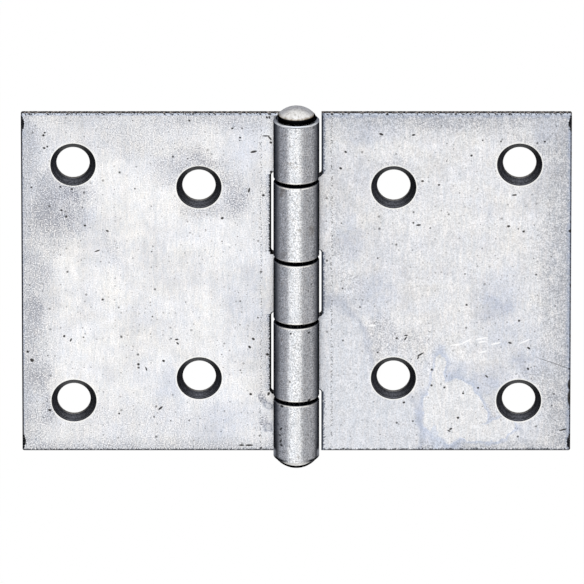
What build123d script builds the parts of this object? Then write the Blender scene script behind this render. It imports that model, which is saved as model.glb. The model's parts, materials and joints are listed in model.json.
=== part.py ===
from build123d import *
import math
import os

# A butt hinge of rolled steel sheet: two leaves whose knuckles turn on one domed pin.
# Millimetres. The pin's axis is Z, with the origin at the middle of the leaves' height.
# The fixed leaf lies towards -X and the swinging leaf towards +X, and they lie flat at rest.
# The countersunk front faces -Y, and the back that is screwed down faces +Y.

# Leaves
LEAF_HEIGHT = 60.0
LEAF_REACH = 45.5
SHEET_THICKNESS = 1.5
EDGE_BREAK = 0.25
CORNER_RADIUS = 0.35

# Knuckles, counted from the top: the first, third and fifth belong to the fixed leaf
END_KNUCKLE_PITCH = 10.65
MIDDLE_KNUCKLE_PITCH = 11.1
KNUCKLE_GAP = 0.5
NOTCH_CLEARANCE = 0.35
NOTCH_CORNER_RADIUS = 0.5
ROLL_TIP_GAP = 0.15

# Pin
PIN_DIAMETER = 4.5
PIN_CLEARANCE = 0.05
HEAD_DIAMETER = 6.3
HEAD_DOME_HEIGHT = 1.5
HEAD_NECK_HEIGHT = 0.6
HEAD_SEAT_WIDTH = 0.3
FOOT_DIAMETER = 7.0
FOOT_DOME_HEIGHT = 1.8

# Countersunk screw holes: an outer and an inner pair in each leaf
SCREW_HOLE_DIAMETER = 5.5
COUNTERSINK_DIAMETER = 7.5
COUNTERSINK_ANGLE = 90.0
OUTER_HOLE_FROM_EDGE = 8.6
OUTER_HOLE_FROM_END = 9.0
INNER_HOLE_FROM_AXIS = 16.1
INNER_HOLE_FROM_END = 13.0

# Dents that the shears leave in a leaf's front edge beside its outer corners
EDGE_DENT_LENGTH = 2.2
EDGE_DENT_DEPTH = 0.4
EDGE_DENT_FROM_END = 0.6

# Sizes that follow from those above
bore_radius = PIN_DIAMETER / 2 + PIN_CLEARANCE
knuckle_radius = bore_radius + SHEET_THICKNESS
wall_middle = bore_radius + SHEET_THICKNESS / 2
notch_edge = knuckle_radius + NOTCH_CLEARANCE
top = LEAF_HEIGHT / 2
swing_knuckle_pitch = top - END_KNUCKLE_PITCH - MIDDLE_KNUCKLE_PITCH / 2
countersink_depth = (COUNTERSINK_DIAMETER - SCREW_HOLE_DIAMETER) / 2 / math.tan(
    math.radians(COUNTERSINK_ANGLE / 2)
)

# Each leaf's knuckles as lowest and highest level, half a gap short of their neighbours
middle_limit = MIDDLE_KNUCKLE_PITCH / 2
end_limit = middle_limit + swing_knuckle_pitch
half_gap = KNUCKLE_GAP / 2
fixed_rows = [
    (end_limit + half_gap, top),
    (-middle_limit + half_gap, middle_limit - half_gap),
    (-top, -end_limit - half_gap),
]
swinging_rows = [
    (middle_limit + half_gap, end_limit - half_gap),
    (-end_limit + half_gap, -middle_limit - half_gap),
]


# Leaves
def blank(side, rows):
    """The flat part of a leaf, notched beside the other leaf's knuckles, with its edges broken."""
    plate_width = LEAF_REACH - notch_edge
    outline = Pos(side * (notch_edge + plate_width / 2), 0) * Rectangle(plate_width, LEAF_HEIGHT)
    for low, high in rows:
        outline += Pos(side * notch_edge / 2, (low + high) / 2) * Rectangle(notch_edge, high - low)

    def at(vertex, reach):
        return math.isclose(abs(vertex.X), reach, abs_tol=1e-6)

    inner_corners = [v for v in outline.vertices() if at(v, notch_edge) and abs(v.Y) < top - half_gap]
    outline = fillet(inner_corners, NOTCH_CORNER_RADIUS)
    outline = fillet([v for v in outline.vertices() if at(v, LEAF_REACH)], CORNER_RADIUS)

    # The plane's normal points to the front, so the sheet is drawn on the back and raised to the front
    back = Plane((0, knuckle_radius, 0), x_dir=(1, 0, 0), z_dir=(0, -1, 0))
    plate = extrude(back * outline, SHEET_THICKNESS)
    rims = [
        edge
        for edge in plate.edges()
        if edge.bounding_box().size.Y < EDGE_BREAK and abs(edge.center().X) > EDGE_BREAK
    ]
    return chamfer(rims, EDGE_BREAK)


def knuckle(side, low, high):
    """The sheet rolled round the pin from the leaf's back until its tip nearly meets the front."""
    tip_angle = math.degrees(math.acos((bore_radius - ROLL_TIP_GAP) / knuckle_radius))
    sheet = Pos(wall_middle, (low + high) / 2) * Rectangle(SHEET_THICKNESS, high - low)
    section = Plane.YZ * chamfer(sheet.vertices(), EDGE_BREAK)
    return revolve(section, Axis((0, 0, 0), (0, 0, side)), 360 - tip_angle)


def screw_hole(x, z):
    """A clear hole with a countersink in the front face, as the shape that is cut away."""
    front = bore_radius
    clear_radius = SCREW_HOLE_DIAMETER / 2
    profile = Polyline(
        (0, 0),
        (COUNTERSINK_DIAMETER / 2, 0),
        (clear_radius, countersink_depth),
        (clear_radius, SHEET_THICKNESS),
        (0, SHEET_THICKNESS),
        close=True,
    )
    return Pos(x, front, z) * revolve(make_face(profile), Axis.Y)


def edge_dent(side, z):
    """A shallow dent across the front outer edge, as the slanted roller that is cut away."""
    roller_radius = (EDGE_DENT_LENGTH**2 / 4 + EDGE_DENT_DEPTH**2) / (2 * EDGE_DENT_DEPTH)
    deepest = Vector(side * LEAF_REACH, bore_radius, z) + Vector(-side, 1, 0).normalized() * EDGE_DENT_DEPTH
    centre = deepest + Vector(side, -1, 0).normalized() * roller_radius
    return Plane(centre, z_dir=(side, 1, 0)) * Cylinder(roller_radius, 2 * SHEET_THICKNESS)


def leaf(side, rows):
    """One leaf with its knuckles, screw holes and dents, on the side of the pin that is given."""
    body = blank(side, rows)
    for low, high in rows:
        body += knuckle(side, low, high)
    hole_places = [
        (LEAF_REACH - OUTER_HOLE_FROM_EDGE, top - OUTER_HOLE_FROM_END),
        (INNER_HOLE_FROM_AXIS, top - INNER_HOLE_FROM_END),
    ]
    for reach, level in hole_places:
        for z in (level, -level):
            body -= screw_hole(side * reach, z)
    dent_level = top - EDGE_DENT_FROM_END - EDGE_DENT_LENGTH / 2
    for z in (dent_level, -dent_level):
        body -= edge_dent(side, z)
    return body


# Pin
def dome_radius(width, height):
    """Radius of the ball that a dome of this width and height is cut from."""
    return (height**2 + (width / 2) ** 2) / (2 * height)


def hinge_pin():
    """The pin, seated on the top knuckle by its head and peened under the bottom one."""
    shank = PIN_DIAMETER / 2
    seat = bore_radius + EDGE_BREAK + HEAD_SEAT_WIDTH
    brim = HEAD_DIAMETER / 2
    foot = FOOT_DIAMETER / 2
    brim_level = top + HEAD_NECK_HEIGHT
    head_top = (0, brim_level + HEAD_DOME_HEIGHT)
    foot_bottom = (0, -top - FOOT_DOME_HEIGHT)
    outline = [
        RadiusArc(head_top, (brim, brim_level), dome_radius(HEAD_DIAMETER, HEAD_DOME_HEIGHT)),
        Polyline((brim, brim_level), (seat, top), (shank, top), (shank, -top), (foot, -top)),
        RadiusArc((foot, -top), foot_bottom, dome_radius(FOOT_DIAMETER, FOOT_DOME_HEIGHT)),
        Line(foot_bottom, head_top),
    ]
    return revolve(Plane.XZ * make_face(outline), Axis.Z)


pieces = {
    "fixed_leaf": leaf(-1, fixed_rows),
    "swinging_leaf": leaf(1, swinging_rows),
    "hinge_pin": hinge_pin(),
}

os.makedirs("parts", exist_ok=True)
for name, piece in pieces.items():
    export_step(piece, os.path.join("parts", name + ".step"))
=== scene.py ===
import json
import math

import bpy
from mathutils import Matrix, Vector

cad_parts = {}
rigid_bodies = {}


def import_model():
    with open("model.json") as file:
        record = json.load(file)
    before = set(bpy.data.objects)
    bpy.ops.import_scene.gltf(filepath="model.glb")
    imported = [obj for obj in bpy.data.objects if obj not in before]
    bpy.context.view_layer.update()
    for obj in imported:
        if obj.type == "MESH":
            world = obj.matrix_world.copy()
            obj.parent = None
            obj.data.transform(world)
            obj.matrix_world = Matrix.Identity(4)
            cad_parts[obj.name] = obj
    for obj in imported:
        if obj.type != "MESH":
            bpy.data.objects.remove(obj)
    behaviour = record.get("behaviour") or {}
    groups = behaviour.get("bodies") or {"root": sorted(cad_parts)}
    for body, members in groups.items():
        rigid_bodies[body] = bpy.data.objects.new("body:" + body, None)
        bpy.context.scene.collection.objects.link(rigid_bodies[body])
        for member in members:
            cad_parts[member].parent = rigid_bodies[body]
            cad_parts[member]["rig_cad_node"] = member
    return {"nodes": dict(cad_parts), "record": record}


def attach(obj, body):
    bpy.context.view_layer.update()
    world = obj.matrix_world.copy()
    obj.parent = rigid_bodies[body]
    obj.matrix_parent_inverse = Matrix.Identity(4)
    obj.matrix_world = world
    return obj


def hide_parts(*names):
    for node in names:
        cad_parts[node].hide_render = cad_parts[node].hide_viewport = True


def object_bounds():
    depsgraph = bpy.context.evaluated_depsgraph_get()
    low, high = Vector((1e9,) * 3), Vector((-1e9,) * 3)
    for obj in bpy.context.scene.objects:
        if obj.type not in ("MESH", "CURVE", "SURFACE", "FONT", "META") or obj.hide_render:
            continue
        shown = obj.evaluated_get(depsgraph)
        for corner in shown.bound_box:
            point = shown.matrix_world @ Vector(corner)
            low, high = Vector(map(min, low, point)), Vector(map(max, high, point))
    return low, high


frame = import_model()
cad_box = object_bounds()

# Fixed leaf
# The left leaf: mild steel sheet 1.5 mm thick, sheared to size, with four countersunk screw holes and three
# knuckles rolled from its inner edge. A belt has ground its faces bright, and oil has clouded the bare steel.
LEAF_REACH = 45.5  # from the pin's axis; lengths here and in the steel below are in millimetres
LEAF_HALF_HEIGHT = 30.0
NOTCH_FROM_AXIS = 4.15
KNUCKLE_RADIUS = 3.8
SHEET_MIDDLE = 3.05  # behind the pin's axis
COUNTERSINK_RADIUS = 3.75
SCREW_HOLE_RADIUS = 2.75
TOOL_LINE_FROM_AXIS = 5.85
DENT_FROM_MIDDLE = 28.3
DENT_HALF_WIDTH = 0.6
DENT_HALF_LENGTH = 1.4
SWING_KNUCKLE_LEVEL = 12.45
SWING_KNUCKLE_HALF = 6.9
KNUCKLE_LOWER_ENDS = (19.6, 5.8, -5.3, -19.1)
HIGHLIGHT_LIP_ABOVE_END = 0.34  # middle of the painted highlight lip over each lower end, which is twice HIGHLIGHT_LIP_HALF high
HIGHLIGHT_LIP_HALF = 0.09
FIXED_LEAF_MARKS = {
    # How cloudy the whole face is, and how strongly the speckle breaks up the clouds and borders
    "haze": 0.0,
    "fleck": 1.05,
    # Patches: centre along X and Z, half width and half height in millimetres, strength
    "clouds": [
        (-38.8, 13.3, 5.0, 6.4, 0.85),
        (-40.8, 17.3, 2.6, 2.5, 0.65),
        (-17.9, 20.5, 7.0, 3.6, 0.55),
        (-10.7, 15.5, 3.0, 3.9, 0.5),
        (-15.0, 13.0, 3.6, 2.1, 0.4),
        (-42.5, 2.7, 2.3, 3.9, 0.3),
        (-15.1, 28.7, 9.9, 1.8, 0.4),
        (-26.0, 25.5, 14.0, 4.0, 0.25),
        (-31.2, 6.2, 2.0, 3.9, 0.25),
        (-43.8, -4.5, 2.0, 2.5, 0.7),
        (-43.6, -9.0, 1.6, 2.5, 0.6),
        (-42.5, -17.0, 2.2, 3.2, 0.7),
        (-41.5, -23.0, 1.2, 2.5, 0.6),
        (-41.0, -29.2, 3.0, 0.8, 0.6),
        (-26.0, -25.0, 16.0, 5.0, 0.2),
        (-5.2, -20.5, 0.9, 1.3, 0.7),
        (-5.2, -25.0, 1.0, 1.0, 0.7),
    ],
    "grime": [],
    "tarnish": [
        (-44.8, 26.3, 1.7, 3.9, 0.9),
        (-44.6, 14.8, 1.3, 10.7, 0.5),
        (-40.8, 16.5, 3.6, 2.8, 0.5),
        (-34.8, 11.2, 2.6, 2.8, 0.5),
        (-8.3, 24.6, 4.0, 5.7, 0.6),
        (-21.3, -18.7, 2.6, 3.9, 0.7),
        (-8.5, -3.0, 4.3, 12.5, 0.35),
        (-11.0, -25.3, 6.6, 3.9, 0.55),
        (-44.4, -20.0, 1.3, 4.6, 0.6),
    ],
    # Spills: colour of the dried field, then colour, strength and reach of its rim, then its ovals: centre
    # along X and Z, half width and half height
    "spills": [
        ("#E6E7EA", "#8E93A2", 0.8, 1.8, [(-4.7, -22.0, 0.6, 0.6), (-4.8, -25.8, 0.55, 0.5)]),
    ],
    # Nicks and rubbed streaks: centre along X and Z, length and width in millimetres, turn in degrees
    "nicks": [
        (-41.76, 26.20, 0.33, 0.30, 0),
        (-41.54, 26.66, 0.26, 0.23, 0),
        (-41.64, 23.94, 0.36, 0.26, -20),
        (-41.13, 24.20, 0.26, 0.23, 0),
        (-39.01, 17.06, 0.30, 0.25, 0),
        (-37.09, 16.67, 0.30, 0.25, 0),
        (-38.86, 12.93, 0.30, 0.26, 0),
        (-38.06, 11.79, 0.36, 0.26, 60),
        (-34.97, 10.21, 0.31, 0.28, 0),
        (-31.27, 9.24, 0.38, 0.25, -25),
        (-32.95, 5.70, 0.75, 0.18, 20),
        (-10.56, 27.43, 0.36, 0.23, 30),
        (-9.30, 25.79, 0.30, 0.25, 0),
        (-7.05, 23.30, 0.83, 0.30, 12),
        (-12.26, 11.52, 0.38, 0.33, 20),
        (-7.82, 16.46, 0.66, 0.25, 80),
        (-5.46, 15.58, 0.36, 0.30, 0),
        (-4.13, 19.72, 0.40, 0.36, 0),
        (-4.13, 5.33, 0.43, 0.36, 30),
        (-5.03, 26.09, 0.93, 0.18, 0),
        (-4.38, 25.70, 0.70, 0.22, -52),
        (-4.21, 24.92, 0.36, 0.30, -40),
        (-38.48, -9.49, 0.33, 0.30, 60),
        (-37.38, -10.17, 0.50, 0.20, 65),
        (-44.55, -12.25, 0.33, 0.33, 0),
        (-43.84, -13.78, 0.56, 0.43, -40),
        (-26.19, -14.52, 0.35, 0.35, 0),
        (-24.90, -15.33, 0.60, 0.18, -70),
        (-40.96, -22.71, 0.40, 0.30, -30),
        (-19.83, -10.08, 0.46, 0.23, 5),
        (-19.68, -10.78, 0.43, 0.22, -45),
        (-22.02, -13.91, 0.36, 0.30, -20),
        (-7.13, -9.99, 0.43, 0.30, -40),
        (-7.74, -11.43, 0.43, 0.30, -45),
        (-4.79, -12.75, 0.43, 0.36, 0),
        (-7.58, -19.86, 0.36, 0.31, -20),
        (-4.60, -19.79, 0.50, 0.30, 70),
        (-22.55, -22.35, 0.70, 0.26, 42),
        (-9.08, -28.98, 0.66, 0.23, 0),
        (-7.84, -28.99, 0.99, 0.25, 0),
        (-4.86, 29.37, 0.36, 0.25, -70),
        (-4.45, 29.37, 0.40, 0.25, -70),
        (-2.40, -19.95, 0.40, 0.30, 0),
        (-2.55, -24.0, 0.50, 0.22, 60),
        (-2.75, -25.2, 0.35, 0.25, 0),
        (-2.60, -26.2, 0.55, 0.22, 70),
        (-2.50, -26.9, 0.35, 0.30, 0),
    ],
    "rubbed": [
        (-13.52, 22.53, 0.58, 0.18, 0),
        (-13.44, 22.14, 0.63, 0.20, -15),
        (-11.22, 6.82, 0.70, 0.23, -12),
    ],
    # Borders: reach and strength of the dull band, then of the blue rim
    "outer_border": (7.0, 0.78, 0.6, 0.9),
    "top_border": (4.0, 0.45, 0.5, 0.7),
    "bottom_border": (3.0, 0.80, 0.5, 0.8),
    # Share of places with a black pit, colours of the outer edges and of the notched edges' painted shade,
    # width
    #     # of the notch's painted shade line
    "pit_share": 0.6,
    "outer_edge": "#5A5B62",
    "notch_edge": "#0E0F11",
    "notch_shade_line": 0.4,
    # 1 where the leaf isn't notched: at the levels of the fixed leaf's knuckles, or of the swinging leaf's
    "solid_beside_fixed": 1.0,
    "solid_beside_swinging": 0.0,
}


def linear(code):
    """The linear colour that a shader takes, from an sRGB hex code."""
    channels = [int(code[i : i + 2], 16) / 255 for i in (1, 3, 5)]
    return [c / 12.92 if c <= 0.04045 else ((c + 0.055) / 1.055) ** 2.4 for c in channels] + [1.0]


def add(tree, kind, inputs=None, **settings):
    """Adds a shader node; each input takes a value, a socket, or a node whose first live output feeds it."""
    made = tree.nodes.new("ShaderNode" + kind)
    for name, value in settings.items():
        setattr(made, name, value)
    for socket, value in (inputs or {}).items():
        if isinstance(value, bpy.types.Node):
            value = next(output for output in value.outputs if output.enabled)
        if isinstance(value, bpy.types.NodeSocket):
            tree.links.new(value, made.inputs[socket])
        else:
            made.inputs[socket].default_value = value
    return made


def new_material(name):
    """An empty material with its output node, and the tree that its nodes go into."""
    material = bpy.data.materials.new(name)
    material.use_nodes = True
    material.node_tree.nodes.clear()
    return material, material.node_tree, add(material.node_tree, "OutputMaterial")


def screw_hole_places():
    """The screw holes' places on a leaf, away from the pin and from mid-height, in millimetres."""
    places = []
    for mount in frame["record"]["mounts"]:
        if mount["name"].startswith("fixed_leaf") and mount["kind"] == "bolt_pattern":
            places.append((abs(mount["pos_m"][0]) * 1000, 0, mount["dims"]["spacing_y_mm"] / 2))
    return places


# Cold-rolled steel ground on a belt: a rough white mirror with a fine upright grain, clouded grey and
# tarnished blue by oil, with black pits. Mill scale stays where the belt doesn't reach: black in the
# countersinks, worn brown in streaks on the sheared edges, and worn grey on the knuckles' flanks, where
# painted shade darkens it further. Painted highlights and painted shade also lie on the edges, ends, seams,
# notches and countersinks.
STEEL_COOL = "#ECEDF1"
STEEL_WARM = "#EFEEED"
CLOUD_GREY = "#A4A6B0"
TARNISH_BLUE = "#D2D7E3"
DULL_GREY = "#B4B6BC"
RIM_BLUE = "#AAB2C2"
RUBBED_WHITE = "#FFFFFF"
KNUCKLE_WHITE = "#E3E4E6"
KNUCKLE_COOL = "#DADEE5"
KNUCKLE_EDGE_HIGHLIGHT = "#FAF8F2"
SMUDGE_BROWN = "#8A7F72"
TOP_EDGE_HIGHLIGHT_BLUE = "#CFD5E0"
BOTTOM_EDGE_SHADE_GREY = "#3C3D43"
SCALE_BLACK = "#1B1C20"
SCALE_GREY = "#55565C"
SCALE_BROWN = "#D2C9C0"
FLANK_SHADE_GREY = "#76797F"
FLANK_SHADE_DARK = "#2E3036"
SCALE_SHEEN = "#1A1A1A"
SEAT_BLACK = "#46474C"
HOLE_WALL_GREY = "#8E8A84"
BURR_HIGHLIGHT_WHITE = "#FFFEFA"
END_SHADE_NAVY = "#1A1F2C"
PIT_BLACK = "#2A2725"
# Painted highlight and painted shade on the top end: a bright ring and a dark line outside it, about a centre
# behind the pin's axis: radius where each starts and is full, colour
RING_CENTRE = (0.0, 0.5, 0.0)
TOP_RINGS_OF_LIGHT_AND_SHADE = [(3.38, 3.46, "#F2F6FC"), (4.18, 4.23, "#3C4149")]
RING_AT_FLANK = 0.55
# Where parts of a knuckle start and are full: end faces, in painted shade, and flanks by distance from the
# axis; the pale painted reflection and the black painted shade at the lowest one's lower edge by distance
# and level
END_SHADE_REACH = (3.68, 3.6)
FLANK = (1.2, 2.4)
LOW_EDGE_SIDES = (3.2, 3.5)
LOW_EDGE_LEVELS = (-27.9, -28.6)
LOW_EDGE_REFLECTION = 0.85
LOW_SHADE_LEVELS = (-29.3, -29.55)
# How squarely a knuckle faces front or back where the belt starts and has cut fully, and what the speckle
# and each millimetre to the right add to that. The flanks outside this are darkened as painted shade, less
# so to the right.
GROUND_FROM = 0.56
GROUND_FULL = 1.05
GROUND_BY_SPECKLE = 0.35
LIGHTER_TO_RIGHT = 0.015
# Sizes of the patterns. Real speckle is too fine to show, so it is as coarse as a pixel or two of the photo.
SPECKLE = 0.21
CLOUD = 9.0
WANDER = 5.0
CLOUD_WANDERS = 7.0
SPILL_WANDERS = 5.0
BLOTCH = 1.5
GRAIN_WIDTH = 0.28
GRAIN_LENGTH = 1.6
STREAK_WIDTH = 1.2
STREAK_LENGTH = 40.0
SHEAR_MARK = 0.6
CUTTER_RING = 0.13
BACK_SHIFT = 61.0  # between the patterns of a leaf's front and back
MOST_NOISE = {"From Min": 0.3, "From Max": 0.7}  # where nearly all of a noise's values lie
# Roughness, and the relief's depth in metres
FACE_ROUGH = 0.38
CLOUD_ROUGH = 0.50
KNUCKLE_ROUGH = 0.30
SCALE_ROUGH = 0.55
FLANK_ROUGH = 0.32
RELIEF_DEPTH = 0.00002


def ground_steel(name, shift, marks):
    """The leaves' steel. Shift moves its patterns, so that no two leaves match; marks lie on the front."""
    material, tree, output = new_material(name)
    coords = add(tree, "TexCoord")
    mm = add(tree, "VectorMath", {0: coords.outputs["Object"], "Scale": 1000.0}, operation="SCALE")
    place = add(tree, "SeparateXYZ", {0: mm})
    apart = add(tree, "VectorMath", {0: mm}, operation="ABSOLUTE")
    span = add(tree, "SeparateXYZ", {0: apart})
    normal = add(tree, "VectorMath", {0: coords.outputs["Normal"]}, operation="ABSOLUTE")
    facing = add(tree, "SeparateXYZ", {0: normal})
    front = add(tree, "Math", {0: place.outputs["Y"], 1: SHEET_MIDDLE}, operation="LESS_THAN")
    moved = add(tree, "MapRange", {"Value": front, "To Min": shift + BACK_SHIFT, "To Max": shift})
    moved = add(tree, "CombineXYZ", {"X": moved, "Y": shift, "Z": moved})
    pattern = add(tree, "VectorMath", {0: mm, 1: moved}, operation="ADD")
    pattern_parts = add(tree, "SeparateXYZ", {0: pattern})
    face_plane = add(tree, "CombineXYZ", {"X": pattern_parts.outputs["X"], "Y": pattern_parts.outputs["Z"]})

    # Fine speckle of the ground face
    mottle = add(
        tree, "TexNoise", {"Vector": pattern, "Scale": 1 / SPECKLE, "Detail": 1.0, "Roughness": 0.5}
    )

    # Where the belt has cut: the flat faces, and the part of each knuckle that faces front or back. The
    #     # knuckles' flanks outside it take worn scale and painted shade.
    across = add(tree, "VectorMath", {0: mm, 1: (1, 1, 0)}, operation="MULTIPLY")
    from_axis = add(tree, "VectorMath", {0: across}, operation="LENGTH")
    knuckle = add(
        tree,
        "MapRange",
        {"Value": from_axis, "From Min": KNUCKLE_RADIUS + 0.3, "From Max": KNUCKLE_RADIUS + 0.1},
    )
    level = add(tree, "VectorMath", {0: normal, 1: (1, 1, 0)}, operation="MULTIPLY")
    level_length = add(tree, "VectorMath", {0: level}, operation="LENGTH")
    turned = add(tree, "Math", {0: facing.outputs["Y"], 1: level_length}, operation="DIVIDE")
    turned = add(tree, "Math", {0: mottle, 1: GROUND_BY_SPECKLE, 2: turned}, operation="MULTIPLY_ADD")
    turned = add(
        tree, "Math", {0: place.outputs["X"], 1: LIGHTER_TO_RIGHT, 2: turned}, operation="MULTIPLY_ADD"
    )
    knuckle_bare_and_lit = add(
        tree,
        "MapRange",
        {"Value": turned, "From Min": GROUND_FROM, "From Max": GROUND_FULL},
        interpolation_type="SMOOTHSTEP",
    )
    # Painted reflection: the flanks of the lowest knuckle turn pale near its lower end
    low_edge_reflection = add(
        tree,
        "MapRange",
        {
            "Value": place.outputs["Z"],
            "From Min": LOW_EDGE_LEVELS[0],
            "From Max": LOW_EDGE_LEVELS[1],
            "To Max": LOW_EDGE_REFLECTION,
        },
        interpolation_type="SMOOTHSTEP",
    )
    edge_on = add(
        tree,
        "MapRange",
        {"Value": span.outputs["X"], "From Min": LOW_EDGE_SIDES[0], "From Max": LOW_EDGE_SIDES[1]},
    )
    low_edge_reflection = add(tree, "Math", {0: low_edge_reflection, 1: edge_on}, operation="MULTIPLY")
    knuckle_bare_and_lit = add(tree, "Math", {0: knuckle_bare_and_lit, 1: low_edge_reflection}, operation="MAXIMUM")
    leaf_bare = add(tree, "MapRange", {"Value": facing.outputs["Y"], "From Min": 0.4, "From Max": 0.6})
    bare = add(tree, "MapRange", {"Value": knuckle, "To Min": leaf_bare, "To Max": knuckle_bare_and_lit})
    off_knuckle = add(tree, "Math", {0: 1.0, 1: knuckle}, operation="SUBTRACT")

    # Fields that the colours follow
    cloud_noise = add(
        tree,
        "TexNoise",
        {"Vector": pattern, "Scale": 1 / CLOUD, "Detail": 6.0, "Roughness": 0.62, "Distortion": 0.4},
    )
    wander = add(
        tree, "TexNoise", {"Vector": pattern, "Scale": 1 / WANDER, "Detail": 4.0, "Roughness": 0.6}
    )
    wander_by = add(
        tree, "VectorMath", {0: wander.outputs["Color"], 1: (0.5, 0.5, 0.5)}, operation="SUBTRACT"
    )
    wandered = add(
        tree,
        "VectorMath",
        {0: wander_by, 1: (CLOUD_WANDERS, 0.0, CLOUD_WANDERS), 2: mm},
        operation="MULTIPLY_ADD",
    )
    blotch = add(
        tree, "TexNoise", {"Vector": pattern, "Scale": 1 / BLOTCH, "Detail": 3.0, "Roughness": 0.6}
    )
    grain_size = (1 / GRAIN_WIDTH, 1 / GRAIN_WIDTH, 1 / GRAIN_LENGTH)
    grain_place = add(tree, "VectorMath", {0: pattern, 1: grain_size}, operation="MULTIPLY")
    grain = add(tree, "TexNoise", {"Vector": grain_place, "Scale": 1.0, "Detail": 3.0, "Roughness": 0.6})
    streak_size = (1 / STREAK_WIDTH, 1 / STREAK_WIDTH, 1 / STREAK_LENGTH)
    streak_place = add(tree, "VectorMath", {0: pattern, 1: streak_size}, operation="MULTIPLY")
    streak = add(tree, "TexNoise", {"Vector": streak_place, "Scale": 1.0, "Detail": 3.0, "Roughness": 0.6})

    def nearness(x, z, half_width, half_height, turn, vector):
        """How far a point is from a placed mark's centre, where 1 is the mark's edge."""
        if turn:
            vector = add(
                tree,
                "VectorRotate",
                {"Vector": vector, "Center": (x, 0, z), "Angle": math.radians(turn)},
                rotation_type="Y_AXIS",
            )
        scale = (1 / half_width, 0, 1 / half_height)
        start = (-x / half_width, 0, -z / half_height)
        local = add(tree, "VectorMath", {0: vector, 1: scale, 2: start}, operation="MULTIPLY_ADD")
        return add(tree, "VectorMath", {0: local}, operation="LENGTH")

    def patches(rows):
        """A field that rises inside each placed patch, uneven and with a soft wandering edge."""
        field = 0.0
        for x, z, half_width, half_height, strength in rows:
            reach = nearness(x, z, half_width, half_height, 0, wandered)
            patch = add(
                tree,
                "MapRange",
                {"Value": reach, "From Min": 1.45, "From Max": 0.3, "To Max": strength},
                interpolation_type="SMOOTHSTEP",
            )
            field = add(tree, "Math", {0: field, 1: patch}, operation="MAXIMUM")
        for noise in (cloud_noise, blotch):
            uneven = add(tree, "MapRange", {"Value": noise, **MOST_NOISE, "To Min": 0.55, "To Max": 1.3})
            field = add(tree, "Math", {0: field, 1: uneven}, operation="MULTIPLY")
        return add(tree, "Math", {0: field, 1: front}, operation="MULTIPLY")

    def strokes(rows, strength):
        """A field that is raised on each placed nick or rubbed streak."""
        field = 0.0
        for x, z, length, width, turn in rows:
            reach = nearness(x, z, length / 2, width / 2, turn, mm)
            stroke = add(
                tree, "MapRange", {"Value": reach, "From Min": 1.55, "From Max": 1.1, "To Max": strength}
            )
            field = add(tree, "Math", {0: field, 1: stroke}, operation="MAXIMUM")
        return add(tree, "Math", {0: field, 1: front}, operation="MULTIPLY")

    # Faces: white, with faint clouds all over, placed clouds and tarnish, and a dull border
    haze = marks["haze"]
    faint = add(
        tree,
        "MapRange",
        {"Value": cloud_noise, "From Min": 0.42, "From Max": 0.78, "To Min": haze, "To Max": 0.28 + haze},
        interpolation_type="SMOOTHSTEP",
    )
    fleck = marks["fleck"]
    flecked = add(tree, "MapRange", {"Value": mottle, **MOST_NOISE, "To Min": 1 + fleck, "To Max": 1 - fleck})
    cloudy = add(tree, "Math", {0: patches(marks["clouds"]), 1: flecked}, operation="MULTIPLY")
    cloudy = add(tree, "Math", {0: cloudy, 1: faint}, operation="MAXIMUM")
    tarnished = patches(marks["tarnish"])
    warmth = add(tree, "MapRange", {"Value": wander, "From Min": 0.35, "From Max": 0.65})
    face = add(
        tree, "MixRGB", {"Fac": warmth, "Color1": linear(STEEL_COOL), "Color2": linear(STEEL_WARM)}
    )
    face = add(tree, "MixRGB", {"Fac": tarnished, "Color1": face, "Color2": linear(TARNISH_BLUE)})
    face = add(tree, "MixRGB", {"Fac": cloudy, "Color1": face, "Color2": linear(CLOUD_GREY)})
    outer_gap = add(tree, "Math", {0: LEAF_REACH, 1: span.outputs["X"]}, operation="SUBTRACT")
    beside_swinging = add(
        tree,
        "Math",
        {0: span.outputs["Z"], 1: SWING_KNUCKLE_LEVEL, 2: SWING_KNUCKLE_HALF},
        operation="COMPARE",
    )
    notch_gap = add(tree, "Math", {0: span.outputs["X"], 1: NOTCH_FROM_AXIS}, operation="SUBTRACT")
    no_notch = add(
        tree,
        "MapRange",
        {
            "Value": beside_swinging,
            "To Min": marks["solid_beside_fixed"],
            "To Max": marks["solid_beside_swinging"],
        },
    )
    notch_gap = add(tree, "Math", {0: no_notch, 1: 100.0, 2: notch_gap}, operation="MULTIPLY_ADD")
    top_gap = add(tree, "Math", {0: LEAF_HALF_HEIGHT, 1: place.outputs["Z"]}, operation="SUBTRACT")
    bottom_gap = add(tree, "Math", {0: LEAF_HALF_HEIGHT, 1: place.outputs["Z"]}, operation="ADD")
    borders = [  # from which edge, how far the dull border and the blue rim reach in, and how strong each is
        (outer_gap, *marks["outer_border"]),
        (top_gap, *marks["top_border"]),
        (bottom_gap, *marks["bottom_border"]),
        (notch_gap, 3.5, 0.40, 1.0, 0.8),
    ]
    dull = 0.0
    rim = 0.0
    for gap, dull_reach, dull_strength, rim_reach, rim_strength in borders:
        band = add(
            tree, "MapRange", {"Value": gap, "From Min": dull_reach, "From Max": 0.0, "To Max": dull_strength}
        )
        dull = add(tree, "Math", {0: dull, 1: band}, operation="MAXIMUM")
        band = add(
            tree,
            "MapRange",
            {"Value": gap, "From Min": rim_reach, "From Max": 0.1, "To Max": rim_strength},
            interpolation_type="SMOOTHSTEP",
        )
        rim = add(tree, "Math", {0: rim, 1: band}, operation="MAXIMUM")
    border_uneven = add(tree, "MapRange", {"Value": blotch, **MOST_NOISE, "To Min": 0.4, "To Max": 1.5})
    border_uneven = add(tree, "Math", {0: border_uneven, 1: flecked}, operation="MULTIPLY")
    dull = add(tree, "Math", {0: dull, 1: border_uneven}, operation="MULTIPLY")
    rim = add(tree, "Math", {0: rim, 1: border_uneven}, operation="MULTIPLY")
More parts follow.
